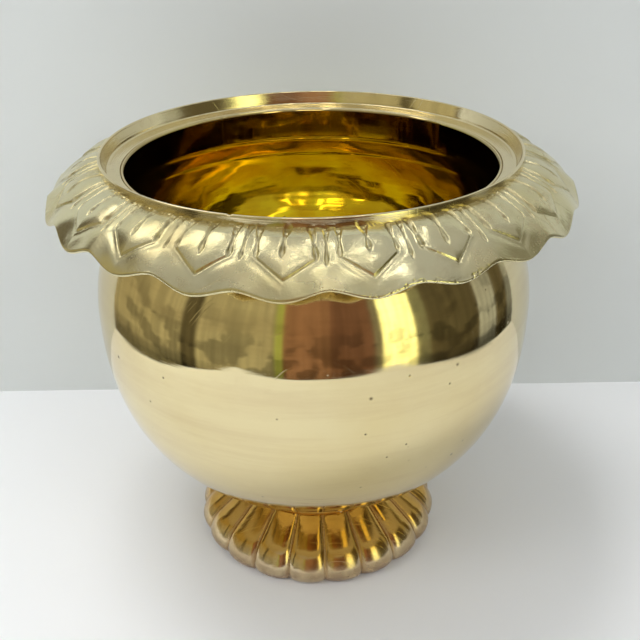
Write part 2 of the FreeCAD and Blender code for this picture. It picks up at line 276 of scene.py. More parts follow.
def stroke_depth(x, y, path, width, depth):
    """Depth of one chisel stroke at (x, y), with half width and depth as functions of the place along it."""
    start, end = np.array(path[0]), np.array(path[1])
    along = end - start
    share = np.clip(((x - start[0]) * along[0] + (y - start[1]) * along[1]) / (along @ along), 0, 1)
    distance = np.hypot(x - start[0] - share * along[0], y - start[1] - share * along[1])
    half = width(share)
    across = np.clip(1 - (distance / half) ** 2, 0, 1)
    burr = np.exp(-(((distance - half * 1.15) / (half * 0.35 + 0.1 * MM)) ** 2))
    return depth(share) * across, depth(share) * 0.16 * burr * np.sin(math.pi * np.clip(share, 0.02, 0.98))


def chisel_width(scale):
    """Wide at the lip, narrow halfway, and wider again where the chisel stopped."""
    places, widths = [0, 0.25, 0.55, 0.72, 0.88, 1.0], [2.0, 1.4, 0.62, 0.9, 1.35, 0.6]
    return lambda share: np.interp(share, places, widths) * scale * MM


def chisel_depth(scale):
    places, depths = [0, 0.3, 0.55, 0.85, 0.97, 1.0], [0.55, 0.75, 0.55, 1.0, 0.75, 0.35]
    return lambda share: np.interp(share, places, depths) * scale * MM


SIDE_STROKE, SIDE_REACH = 0.345, 0.60
V_REACH = 0.81


def petal_relief(x, y, side, length):
    """A petal's raised middle, inside its side strokes and V, and the soft channel outside them."""
    rise = (V_REACH - SIDE_REACH) * length
    past_v = (np.abs(x) * rise + (y - V_REACH * length) * side) / math.hypot(rise, side)
    inside = np.minimum(side * (0.75 + 0.25 * y / (SIDE_REACH * length)) - np.abs(x), -past_v)
    share = np.clip(inside / (5.5 * MM) + 0.08, 0, 1)
    channel = np.exp(-(((inside + 1.4 * MM) / (1.6 * MM)) ** 2))
    below_lip = np.clip(y / (8 * MM), 0, 1) ** 2
    return below_lip * (0.65 * MM * share * (2 - share) - 0.22 * MM * channel)


def petal_cuts(x_of, length, random):
    """The strokes cut into one petal: a middle one, two side ones that turn into a V, and one in the notch."""
    cuts = []

    def stroke(side, reach, scale):
        lean = random.normal(0, 0.012)
        start = (x_of(side + lean, 0.04), 0.045 * length)
        end = (x_of(side * 0.985 - lean, reach), reach * length)
        cuts.append(((start, end), chisel_width(scale), chisel_depth(0.7 + 0.3 * scale)))
        return end

    stroke(random.normal(0, 0.015), random.normal(0.56, 0.02), random.uniform(0.95, 1.1))
    stroke(0.5, random.normal(0.70, 0.03), random.uniform(0.62, 0.8))
    tip = (x_of(random.normal(0, 0.012), V_REACH), random.normal(V_REACH, 0.012) * length)
    for side in (-SIDE_STROKE, SIDE_STROKE):
        reach = random.normal(SIDE_REACH, 0.018)
        end = stroke(side + random.normal(0, 0.01), reach, random.uniform(0.8, 1.0))
        strength = random.uniform(0.6, 1.0)
        cuts.append(((end, tip), lambda s: 0.5 * MM + 0 * s, lambda s, k=strength: k * 0.42 * MM + 0 * s))
    return cuts


def skirt_section(share, place, wall_side):
    """Radius, height and slope of the skirt's middle surface moved to one side by half its wall."""
    root_r = LIP_RADIUS - LIP_WALL
    root_z = SKIRT_ROOT_Z + 0.5 * MM
    reach = NOTCH_RADIUS + (TIP_RADIUS - NOTCH_RADIUS) * share - root_r
    drop = NOTCH_DROP + (TIP_DROP - NOTCH_DROP) * share + 0.5 * MM
    crown = NOTCH_CROWN + (PETAL_CROWN - NOTCH_CROWN) * share
    slope = np.arctan2(drop - crown * 4 * (1 - 2 * place), reach)
    half = (SKIRT_WALL + (EDGE_WALL - SKIRT_WALL) * place) / 2
    r = root_r + (reach - EDGE_WALL / 2) * place + wall_side * half * np.sin(slope)
    z = root_z - drop * place + crown * 4 * place * (1 - place) - half + wall_side * half * np.cos(slope)
    return r, z, slope


def skirt(material):
    """The skirt of petals, with its cuts, as a closed skin."""
    per_petal, rows_top, rows_edge, rows_under = 88, 76, 7, 14
    columns = PETALS * per_petal
    turn = np.arange(columns) / per_petal
    petal = np.round(turn).astype(int) % PETALS
    phase = turn - np.round(turn)
    random = np.random.default_rng(22)
    wide = -np.abs(random.normal(0, 0.5 * MM, PETALS))
    low = random.normal(0, 0.6 * MM, PETALS)
    shallow = np.abs(random.normal(0, 0.7 * MM, PETALS))
    shallow[-1] = 2.2 * MM
    notch = np.floor(turn).astype(int) % PETALS
    share = 0.7 * (0.5 + 0.5 * np.cos(2 * math.pi * phase)) + 0.3 * np.abs(np.cos(math.pi * phase)) ** 1.25
    angle = FIRST_PETAL + turn * 2 * math.pi / PETALS
    length = 31 * MM

    place = np.linspace(0, 1, rows_top)[:, None]
    r, z, slope = skirt_section(share[None, :], place, 1)
    depth = np.zeros((rows_top, columns))
    burr = np.zeros((rows_top, columns))
    relief = np.zeros((rows_top, columns))
    for k in range(PETALS):
        near = (np.arange(-per_petal * 3 // 4, per_petal * 3 // 4) + k * per_petal) % columns
        local = np.arange(-per_petal * 3 // 4, per_petal * 3 // 4) / per_petal
        pitch = 2 * math.pi * r[:, near] / PETALS
        x = local[None, :] * pitch
        y = place * length + 0 * x

        def x_of(side, reach):
            return side * 2 * math.pi * (LIP_RADIUS + (TIP_RADIUS - LIP_RADIUS) * reach) / PETALS

        own_width = slice(per_petal // 4, per_petal * 5 // 4)
        relief[:, near[own_width]] = petal_relief(x, y, x_of(SIDE_STROKE, SIDE_REACH), length)[:, own_width]
        for path, width, deep in petal_cuts(x_of, length, random):
            cut, ridge = stroke_depth(x, y, path, width, deep)
            depth[:, near] = np.maximum(depth[:, near], cut)
            burr[:, near] = np.maximum(burr[:, near], ridge)

    top = around(r, z, angle[None, :])
    grain = ripples(top, 2.2 * MM, 31, 40)
    crease = np.exp(-(((place - 0.055) / 0.035) ** 2)) * np.clip(ripples(top, 1.5 * MM, 5, 40) - 0.2, 0, 1)
    hammered = 0.10 * MM * ripples(top, 11 * MM, 33) + 0.16 * MM * ripples(top, 27 * MM, 34)
    height = hammered + relief + burr - depth * (1 + 0.22 * grain) - 0.35 * MM * crease
    r_top = r + height * np.sin(slope)
    z_top = z + height * np.cos(slope)
    marks = np.clip(depth / (0.5 * MM) + 0.6 * crease, 0, 1)

    ends = []
    for i in range(1, rows_edge):
        side = math.cos(math.pi * i / rows_edge)
        bulge = math.sin(math.pi * i / rows_edge)
        r_edge, z_edge, slope_edge = skirt_section(share, 1.0, side)
        r_edge = r_edge + bulge * EDGE_WALL / 2 * np.cos(slope_edge)
        z_edge = z_edge - bulge * EDGE_WALL / 2 * np.sin(slope_edge)
        ends.append((r_edge, z_edge))
    under = np.linspace(1, 0, rows_under)[:, None]
    r_under, z_under, _ = skirt_section(share[None, :], under, -1)

    radius = np.concatenate([r_top, [e[0] for e in ends], r_under])
    height = np.concatenate([z_top, [e[1] for e in ends], z_under])
    place = np.concatenate([place[:, 0], np.ones(len(ends)), under[:, 0]])[:, None]
    outer = place * place * share
    radius = radius + outer * wide[petal]
    height = height - outer * low[petal] - place * place * (1 - share) * shallow[notch]
    from_pitted = (angle + math.radians(68) + math.pi) % (2 * math.pi) - math.pi
    pitted = np.exp(-((from_pitted / math.radians(11)) ** 4))
    chips = np.clip(ripples(around(radius, height, angle[None, :]), 1.3 * MM, 61, 40) - 0.45, 0, 1)
    chips *= (0.03 + pitted) * np.clip((place - 0.97) / 0.02, 0, 1)
    radius = radius - 0.5 * MM * chips
    marks = np.concatenate([marks, np.zeros((len(radius) - rows_top, columns))])
    marks = np.maximum(marks, np.clip(3 * chips, 0, 1))
    return closed_grid("collar_skirt", around(radius, height, angle[None, :]), material, marks)


# ---- foot ----
EDGE_CENTRE = np.array([FOOT_RADIUS - LOBE_EDGE_RADIUS, LOBE_EDGE_RADIUS * math.sin(LOBE_EDGE_TUCK)])
CENTRE_SHIFT = LOBE_PROFILE_RADIUS - LOBE_EDGE_RADIUS
PROFILE_CENTRE = EDGE_CENTRE - CENTRE_SHIFT * np.array([math.cos(LOBE_EDGE_LEAN), math.sin(LOBE_EDGE_LEAN)])


def slope_angle():
    run_in, rise = FOOT_TOP_RADIUS - PROFILE_CENTRE[0], FOOT_TOP_Z - PROFILE_CENTRE[1]
    return math.atan2(rise, run_in) - math.acos(LOBE_PROFILE_RADIUS / math.hypot(run_in, rise))


def lobe_crest(rows):
    """Radius, height and lean of a lobe's crest, in evenly spaced rows from the sole to the top."""
    end = slope_angle()
    slope = PROFILE_CENTRE + LOBE_PROFILE_RADIUS * np.array([math.cos(end), math.sin(end)])
    top = np.array([FOOT_TOP_RADIUS, FOOT_TOP_Z])
    edge_length = LOBE_EDGE_RADIUS * (LOBE_EDGE_TUCK + LOBE_EDGE_LEAN)
    profile_length = LOBE_PROFILE_RADIUS * (end - LOBE_EDGE_LEAN)
    slope_length = np.linalg.norm(top - slope)
    reached = np.linspace(0, edge_length + profile_length + slope_length, rows)[:, None]
    on_profile = np.clip(reached - edge_length, 0, profile_length) / LOBE_PROFILE_RADIUS
    lean = np.minimum(reached, edge_length) / LOBE_EDGE_RADIUS - LOBE_EDGE_TUCK + on_profile
    on_edge = reached < edge_length
    centre = np.where(on_edge, EDGE_CENTRE, PROFILE_CENTRE)
    size = np.where(on_edge, LOBE_EDGE_RADIUS, LOBE_PROFILE_RADIUS)
    past = np.clip((reached - edge_length - profile_length) / slope_length, 0, 1)
    r = centre[:, :1] + size * np.cos(lean) + (top - slope)[0] * past
    z = centre[:, 1:] + size * np.sin(lean) + (top - slope)[1] * past
    return r, z, lean


def groove_depth(r):
    return FLUTE_SHARE * 2 * math.pi * r / LOBES


def under_bowl_z(r):
    """Height of the bowl's underside at a radius."""
    return BELLY_Z - BELLY_DEPTH * (1 - (r / BOWL_RADIUS) ** BELLY_POWER) ** (1 / BELLY_POWER)


def foot(material):
    """The foot as one closed skin: lobes outside, neck, and the hollow inside."""
    per_lobe, rows = 48, 84
    columns = LOBES * per_lobe
    turn = (np.arange(columns) + 0.5) / per_lobe
    lobe = np.round(turn).astype(int) % LOBES
    across = 2 * (turn - np.round(turn))
    angle = FIRST_LOBE + turn * 2 * math.pi / LOBES
    random = np.random.default_rng(5)
    fuller = 1 + random.normal(0, 0.04, LOBES)[lobe]

    crest_r, crest_z, lean = lobe_crest(rows)
    fall = (1 - LOBE_FULLNESS) * across**2 + LOBE_FULLNESS * across**6
    sunk = groove_depth(crest_r) * (fall * fuller)[None, :]
    lean = np.maximum(lean, 0)
    lean[-3:] *= np.array([[0.66], [0.33], [0.0]])
    outside_r = crest_r - sunk * np.cos(lean)
    outside_z = crest_z - sunk * np.sin(lean)
    valley = np.broadcast_to(np.abs(across)[None, :] ** 3, outside_r.shape)

    bore = FOOT_NECK_RADIUS - FOOT_NECK_WALL
    neck_top = (FOOT_NECK_RADIUS, under_bowl_z(FOOT_NECK_RADIUS) - 0.1 * MM)
    bore_top = (bore, under_bowl_z(bore) - 0.1 * MM)
    ring = [(FOOT_NECK_RADIUS - 0.5 * MM, FOOT_TOP_Z - 0.2 * MM), (FOOT_NECK_RADIUS, FOOT_TOP_Z + 0.5 * MM)]
    ring += run(ring[-1], neck_top, 6)[1:] + run(neck_top, bore_top, 4)
    end = slope_angle()
    reach = LOBE_PROFILE_RADIUS - groove_depth(FOOT_RADIUS) - FOOT_WALL
    slope_r, slope_z = PROFILE_CENTRE + reach * np.array([math.cos(end), math.sin(end)])
    inside_r = crest_r[0, 0] - groove_depth(crest_r[0, 0]) - FOOT_WALL
    corners = [(r, slope_z + (slope_r - r) / math.tan(end)) for r in (bore, inside_r - 2 * MM, inside_r)]
    ring += run(bore_top, corners[0], 6) + run(corners[0], corners[1], 10)
    ring += run(corners[1], (inside_r, corners[2][1] - 1.6 * MM), 3)
    ring += run((inside_r, corners[2][1] - 1.6 * MM), (inside_r, 0.4 * MM), 8)
    ring = np.array(ring)[:, :, None] + np.zeros(columns)
    sole_in = np.linspace(0, 1, 6)[1:-1, None]
    sole_r = inside_r + 0.4 * MM + (outside_r[0] - 1.0 * MM - inside_r) * sole_in

    radius = np.concatenate([outside_r, ring[:, 0], sole_r, outside_r[:1] - 0.4 * MM])
    height = np.concatenate([outside_z, ring[:, 1], 0 * sole_r, 0 * outside_r[:1]])
    height[0] += 0.35 * MM
    marks = np.concatenate([valley, np.full((len(radius) - rows, columns), 0.5)])
    points = around(radius, height, angle[None, :])
    rough = 0.05 * MM * ripples(points, 14 * MM, 8) + 0.02 * MM * ripples(points, 4 * MM, 18)
    points[:rows, :, :2] *= (1 + rough[:rows] / radius[:rows])[..., None]
    points[..., 2] = np.maximum(points[..., 2], 0)
    return closed_grid("foot_casting", points, material, marks)


# ---- solder ----
def solder_ring(name, centre_r, centre_z, size, material, seed, unevenness):
    """A ring of solder whose thickness varies as it runs round."""
    columns, rows = 420, 10
    angle = np.arange(columns) * 2 * math.pi / columns
    section = np.arange(rows) * 2 * math.pi / rows
    ring = around(np.full((1, columns), centre_r), np.full((1, columns), centre_z), angle[None, :])
    thick = size * (1 + unevenness * ripples(ring, 7 * MM, seed))
    r = centre_r + thick * np.cos(section)[:, None]
    z = centre_z + thick * np.sin(section)[:, None]
    return closed_grid(name, around(r, z, angle[None, :]), material)


def solder_bead(name, place, size, material, seed):
    """One drop of solder that ran out of the seam."""
    rows, columns = 14, 20
    up = np.linspace(-math.pi / 2 + 0.05, math.pi / 2 - 0.05, rows)[:, None]
    angle = (np.arange(columns) * 2 * math.pi / columns)[None, :]
    points = around(size * np.cos(up), size * 0.7 * np.sin(up), angle)
    points *= (1 + 0.25 * ripples(points, size * 3, seed))[..., None]
    return closed_grid(name, points + np.array(place), material)


# ---- materials ----
class Shader:
    """A node material under construction, with object coordinates in metres."""

    def __init__(self, name):
        self.material = bpy.data.materials.new(name)
        self.material.use_nodes = True
        self.tree = self.material.node_tree
        self.tree.nodes.clear()
        self.output = self.tree.nodes.new("ShaderNodeOutputMaterial")
        self.place = self.add("ShaderNodeTexCoord").outputs["Object"]

    def add(self, kind, inputs=None, **settings):
        node = self.tree.nodes.new(kind)
        for key, value in settings.items():
            setattr(node, key, value)
        for key, value in (inputs or {}).items():
            if isinstance(value, bpy.types.NodeSocket):
                self.tree.links.new(value, node.inputs[key])
            else:
                node.inputs[key].default_value = value
        return node

    def math(self, operation, *values):
        return self.add("ShaderNodeMath", dict(enumerate(values)), operation=operation).outputs[0]

    def scaled(self, scale, turn=(0, 0, 0), place=None):
        inputs = {"Vector": place or self.place, "Scale": scale, "Rotation": turn}
        return self.add("ShaderNodeMapping", inputs).outputs[0]

    def noise(self, scale, detail=4.0, place=None, roughness=0.55):
        inputs = {"Vector": place or self.place, "Scale": scale, "Detail": detail, "Roughness": roughness}
        return self.add("ShaderNodeTexNoise", inputs).outputs["Fac"]

    def span(self, value, low, high, to_low=0.0, to_high=1.0):
        inputs = {"Value": value, "From Min": low, "From Max": high, "To Min": to_low, "To Max": to_high}
        return self.add("ShaderNodeMapRange", inputs).outputs[0]

    def mix(self, share, a, b):
        node = self.add("ShaderNodeMix", data_type="RGBA")
        for socket, value in ((node.inputs[0], share), (node.inputs[6], a), (node.inputs[7], b)):
            if isinstance(value, bpy.types.NodeSocket):
                self.tree.links.new(value, socket)
            else:
                socket.default_value = value
        return node.outputs[2]

    def rings(self, scale):
        """Noise that runs round the axis: a value for each radius and height, nearly the same all round."""
        parts = self.add("ShaderNodeSeparateXYZ", {0: self.place}).outputs
        radius = self.math("SQRT", self.math("ADD", self.math("MULTIPLY", parts[0], parts[0]),
                                             self.math("MULTIPLY", parts[1], parts[1])))
        turn = self.math("ARCTAN2", parts[1], parts[0])
        small_turn = self.math("MULTIPLY", turn, 0.0012)
        flat = self.add("ShaderNodeCombineXYZ", {0: radius, 1: parts[2], 2: small_turn})
        return self.noise(scale, 2.0, flat.outputs[0])

    def scratches(self, seed):
        """Thin straight hairlines in two directions, 0 to 1."""
        lines = []
        for k in range(2):
            turn = (0.4 + 1.3 * k + seed, 0.9 * k + seed, 0.7 + 1.9 * k)
            streaks = self.noise(1.0, 3.0, self.scaled((14, 1500, 14), turn))
            lines.append(self.span(streaks, 0.66, 0.70))
        patchy = self.span(self.noise(22.0, 2.0), 0.45, 0.65)
        return self.math("MULTIPLY", self.math("MAXIMUM", *lines), patchy)

    def pits(self, scale, size, share):
        """Scattered small round pits, 1 in their middle."""
        cells = self.add("ShaderNodeTexVoronoi", {"Vector": self.place, "Scale": scale})
        draw = self.add("ShaderNodeSeparateColor", {0: cells.outputs["Color"]}).outputs[0]
        chosen = self.math("LESS_THAN", draw, share)
        return self.math("MULTIPLY", self.span(cells.outputs["Distance"], size, size * 0.4), chosen)

    def bump(self, height, distance, strength=1.0, under=None):
        inputs = {"Height": height, "Distance": distance, "Strength": strength}
        if under is not None:
            inputs["Normal"] = under
        return self.add("ShaderNodeBump", inputs).outputs[0]

    def metal(self, color, roughness, normal):
        inputs = {"Base Color": color, "Roughness": roughness, "Normal": normal, "Metallic": 1.0}
        surface = self.add("ShaderNodeBsdfPrincipled", inputs)
        self.tree.links.new(surface.outputs[0], self.output.inputs[0])
        return self.material


BRASS = (0.78, 0.67, 0.39, 1)
BRASS_DEEP = (0.70, 0.57, 0.28, 1)
GOLD_INSIDE = (0.88, 0.75, 0.12, 1)
BROWN_INSIDE = (0.72, 0.50, 0.06, 1)
# Near-black painted shade for the inside of the neck, in place of its dark reflection of the collar's
# underside.
NECK_PAINTED_SHADE = (0.09, 0.045, 0.012, 1)
BRASS_PALE = (0.83, 0.72, 0.46, 1)
TARNISH = (0.46, 0.30, 0.16, 1)
# Pinkish brown painted low on the foot as the reflection of the table.
FOOT_PAINTED_TABLE_REFLECTION = (0.38, 0.26, 0.18, 1)
GRIME = (0.10, 0.07, 0.04, 1)
RIM_WARM = (0.74, 0.63, 0.35, 1)
SKIRT_PALE = (0.73, 0.67, 0.42, 1)
SKIRT_OLIVE = (0.64, 0.55, 0.28, 1)
FOOT_PALE = (0.78, 0.65, 0.41, 1)
FOOT_WARM = (0.70, 0.54, 0.29, 1)
# Orange-brown painted on the foot's upper part as the reflection of the bowl's shaded underside.
FOOT_PAINTED_BOWL_REFLECTION = (0.54, 0.29, 0.03, 1)
SOLDER_PALE = (0.72, 0.58, 0.33, 1)
SOLDER_DARK = (0.40, 0.30, 0.18, 1)


def bowl_brass():
    """Mirror-polished spun sheet with buffing rings, hairlines, pits and faint tarnish; golden inside, with
    painted shade darkening the inside of the neck.
    """
    s = Shader("bowl_brass_polished")
    clouds = s.span(s.noise(9.0, 5.0), 0.4, 0.68)
    color = s.mix(clouds, BRASS, BRASS_DEEP)
    stains = s.span(s.noise(34.0, 6.0, roughness=0.7), 0.62, 0.80)
    color = s.mix(s.math("MULTIPLY", stains, 0.22), color, TARNISH)
    inside = s.add("ShaderNodeAttribute", attribute_name="mark").outputs["Fac"]
    patches = s.span(s.noise(22.0, 3.0), 0.42, 0.62)
    color = s.mix(inside, color, s.mix(patches, GOLD_INSIDE, BROWN_INSIDE))
    above_sole = s.add("ShaderNodeSeparateXYZ", {0: s.place}).outputs[2]
    level = s.math("ADD", above_sole, s.span(clouds, 0, 1, 0, 0.002))
    # Painted shade: the inside is darkened almost to black from 12 mm below the mouth upwards, fading out by 17
    # mm below it.
    neck_shade_share = s.math("MULTIPLY", inside, s.span(level, MOUTH_Z - 17 * MM, MOUTH_Z - 12 * MM, 0, 0.93))
    color = s.mix(neck_shade_share, color, NECK_PAINTED_SHADE)
    pits = s.math("MAXIMUM", s.pits(110.0, 0.08, 0.5), s.pits(55.0, 0.065, 0.6))
    color = s.mix(s.math("MULTIPLY", pits, 0.7), color, GRIME)
    dull = s.span(s.noise(5.0, 6.0, s.scaled((1, 1, 2.2)), 0.65), 0.42, 0.7)
    color = s.mix(s.math("MULTIPLY", dull, 0.28), color, TARNISH)
    buffed = s.span(s.noise(7.0, 6.0, s.scaled((1, 1, 13), (0.02, 0.03, 0)), 0.68), 0.45, 0.7)
    color = s.mix(s.math("MULTIPLY", buffed, 0.24), color, TARNISH)
    lines = s.scratches(0.3)
    rings = s.rings(2600.0)
    rough = s.math("ADD", s.span(clouds, 0, 1, 0.045, 0.085), s.math("MULTIPLY", stains, 0.10))
    rough = s.math("ADD", rough, s.math("MULTIPLY", lines, 0.16))
    rough = s.math("ADD", rough, s.math("MULTIPLY", s.math("ADD", dull, buffed), 0.04))
    rough = s.math("ADD", rough, s.math("MULTIPLY", pits, 0.25))
    waves = s.bump(s.math("MULTIPLY", inside, s.noise(26.0, 1.5)), 0.0022, 0.8)
    sunk = s.math("ADD", lines, s.math("MULTIPLY", pits, 3.0))
    height = s.math("SUBTRACT", s.math("MULTIPLY", rings, 0.35), sunk)
    return s.metal(color, rough, s.bump(height, 0.00002, 0.7, waves))


def rim_brass():
    """The collar's turned part: concentric tool lines under a polish, with scattered stains and hairlines."""
    s = Shader("collar_brass_turned")
    clouds = s.span(s.noise(16.0, 5.0), 0.35, 0.7)
    color = s.mix(clouds, BRASS_PALE, RIM_WARM)
    stains = s.span(s.noise(60.0, 6.0, roughness=0.7), 0.55, 0.78)
    color = s.mix(s.math("MULTIPLY", stains, 0.35), color, TARNISH)
    rings = s.rings(3400.0)
    lines = s.scratches(1.1)
    rough = s.math("ADD", s.span(clouds, 0, 1, 0.07, 0.13), s.math("MULTIPLY", stains, 0.14))
    rough = s.math("ADD", rough, s.math("MULTIPLY", lines, 0.12))
    height = s.math("SUBTRACT", rings, s.math("MULTIPLY", lines, 0.8))
    return s.metal(color, rough, s.bump(height, 0.00005, 0.7))


def skirt_brass():
    """Satin casting: fine sand-cast grain rubbed smooth, darker in the chisel cuts."""
    s = Shader("collar_brass_satin")
    cut = s.add("ShaderNodeAttribute", attribute_name="mark").outputs["Fac"]
    clouds = s.span(s.noise(24.0, 6.0), 0.35, 0.68)
    color = s.mix(clouds, SKIRT_PALE, SKIRT_OLIVE)
    stains = s.span(s.noise(75.0, 6.0, roughness=0.7), 0.52, 0.8)
    color = s.mix(s.math("MULTIPLY", stains, 0.30), color, TARNISH)
    dirt = s.math("MULTIPLY", s.span(cut, 0.35, 1.0), s.span(s.noise(420.0, 3.0), 0.35, 0.6))
    color = s.mix(s.math("MULTIPLY", dirt, 0.4), color, GRIME)
    grain = s.noise(900.0, 3.0)
    lines = s.scratches(2.0)
    rough = s.math("ADD", s.span(clouds, 0, 1, 0.20, 0.30), s.math("MULTIPLY", stains, 0.12))
    rough = s.math("ADD", rough, s.math("MULTIPLY", s.span(cut, 0, 0.6), 0.06))
    height = s.math("SUBTRACT", grain, s.math("MULTIPLY", lines, 0.9))
    return s.metal(color, rough, s.bump(height, 0.00006, 0.8))


def foot_brass():
    """Polished casting: a painted reflection of the bowl's shaded underside on its upper part, a painted
    reflection of the table low down, and tarnish in the grooves.
    """
    s = Shader("foot_brass_polished")
    groove = s.add("ShaderNodeAttribute", attribute_name="mark").outputs["Fac"]
    level = s.add("ShaderNodeSeparateXYZ", {0: s.place}).outputs[2]
    clouds = s.span(s.noise(40.0, 6.0), 0.35, 0.7)
    color = s.mix(clouds, FOOT_PALE, FOOT_WARM)
    # Painted reflection and shade: from about 13 to 18 mm up the foot turns orange-brown, in place of the
    # bowl's shaded underside seen in it.
    high = s.span(s.math("ADD", level, s.span(clouds, 0, 1, 0, 0.003)), 13 * MM, 18 * MM, 0, 0.85)
    color = s.mix(high, color, FOOT_PAINTED_BOWL_REFLECTION)
    # Painted reflection: a patchy pinkish band in the lowest 4 to 16 mm stands in for the table seen in the
    # foot; the band is also made rougher.
    low = s.math("MULTIPLY", s.span(level, 0.016, 0.004), s.span(s.noise(120.0, 5.0), 0.25, 0.55))
    color = s.mix(s.math("MULTIPLY", low, 0.85), color, FOOT_PAINTED_TABLE_REFLECTION)
    deep = s.math("MULTIPLY", s.span(groove, 0.55, 1.0), s.span(s.noise(160.0, 4.0), 0.25, 0.55, 0.45, 1.0))
    color = s.mix(s.math("MULTIPLY", deep, 0.75), color, TARNISH)
    lines = s.scratches(3.1)
    rough = s.math("ADD", s.span(clouds, 0, 1, 0.11, 0.2), s.math("MULTIPLY", low, 0.18))
    rough = s.math("ADD", rough, s.math("MULTIPLY", deep, 0.2))
    height = s.math("SUBTRACT", s.noise(500.0, 3.0), lines)
    return s.metal(color, rough, s.bump(height, 0.00005, 0.7))


def solder_brass():
    """Brazing alloy as it ran: dull and lumpy."""
    s = Shader("solder_as_run")
    clouds = s.span(s.noise(180.0, 5.0), 0.35, 0.7)
    color = s.mix(clouds, SOLDER_PALE, SOLDER_DARK)
    rough = s.span(clouds, 0, 1, 0.22, 0.45)
    return s.metal(color, rough, s.bump(s.noise(700.0, 4.0), 0.0001, 0.8))


# ---- the pot ----
def own(piece, node):
    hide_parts(node)
    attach(piece, "root")


def build_pot():
    own(bowl(bowl_brass()), "bowl")
    own(turned("collar_rim", rim_outline(), 1100, rim_brass(), rim_wear), "collar")
    own(skirt(skirt_brass()), "collar")
    own(foot(foot_brass()), "foot")
    solder = solder_brass()
    under_ledge = (NECK_RADIUS + 0.8 * MM, MOUTH_Z - LEDGE_WALL - 0.8 * MM)
    own(solder_ring("collar_seam", *under_ledge, 1.1 * MM, solder, 41, 0.25), "collar_solder")
    seam_r = FOOT_NECK_RADIUS + 0.7 * MM
    seam = (seam_r, under_bowl_z(seam_r) - 0.9 * MM)
    own(solder_ring("foot_seam", *seam, 1.2 * MM, solder, 43, 0.35), "foot_solder")
    random = np.random.default_rng(17)
    for k in range(9):
        angle = math.radians(-78 + 6.5 * k + random.normal(0, 1.5))
        r = FOOT_NECK_RADIUS + random.uniform(0.2, 1.2) * MM
        place = (r * math.cos(angle), r * math.sin(angle), FOOT_TOP_Z + random.uniform(1.0, 4.0) * MM)
        bead = solder_bead(f"solder_bead_{k + 1}", place, random.uniform(0.6, 1.15) * MM, solder, 50 + k)
        own(bead, "foot_solder")


# ---- stage ----
def plane(name, corners, material):
    mesh = bpy.data.meshes.new(name)
    mesh.from_pydata(corners, [], [(0, 1, 2, 3)])
    mesh.materials.append(material)
    card = bpy.data.objects.new(name, mesh)
    bpy.context.collection.objects.link(card)
    return card


def matte(name, color, see_through_back=False):
    s = Shader(name)
    mottled = s.mix(s.span(s.noise(1.7, 3.0), 0.3, 0.7), color, tuple(c * 0.97 for c in color[:3]) + (1,))
    surface = s.add("ShaderNodeBsdfDiffuse", {"Color": mottled}).outputs[0]
    if see_through_back:
        back = s.add("ShaderNodeNewGeometry").outputs["Backfacing"]
        clear = s.add("ShaderNodeBsdfTransparent").outputs[0]
        surface = s.add("ShaderNodeMixShader", {0: back, 1: surface, 2: clear}).outputs[0]
    s.tree.links.new(surface, s.output.inputs[0])
    return s.material


def glow(name, color, strength):
    s = Shader(name)
    surface = s.add("ShaderNodeEmission", {"Color": color, "Strength": strength}).outputs[0]
    s.tree.links.new(surface, s.output.inputs[0])
    return s.material


TABLE = (-0.40, 0.42, -0.57)  # left end, right end, front edge
WALL_Y = 0.130
ROOM_RADIUS = 2.3
ROOM_SPREAD = 150  # degrees each side of the front
DARK, WARM_DARK = (0.13, 0.11, 0.06), (0.20, 0.10, 0.06)
WARM, PALE = (0.34, 0.18, 0.10), (0.50, 0.45, 0.27)
COOL, WINDOW = (0.46, 0.48, 0.44), (2.3, 2.3, 1.15)
# Where each upright panel starts, in degrees from the front, positive to the right, and its colour.
PANELS = [
    (-150, DARK), (-133, PALE), (-66, DARK), (-57, PALE), (-18, (0.50, 0.56, 0.14)), (-14, WARM),
    (8, WARM_DARK), (29, (0.26, 0.23, 0.15)), (33, WINDOW), (50, (0.28, 0.28, 0.16)), (57, DARK),
    (88, COOL), (101, DARK), (112, COOL), (122, DARK),
]


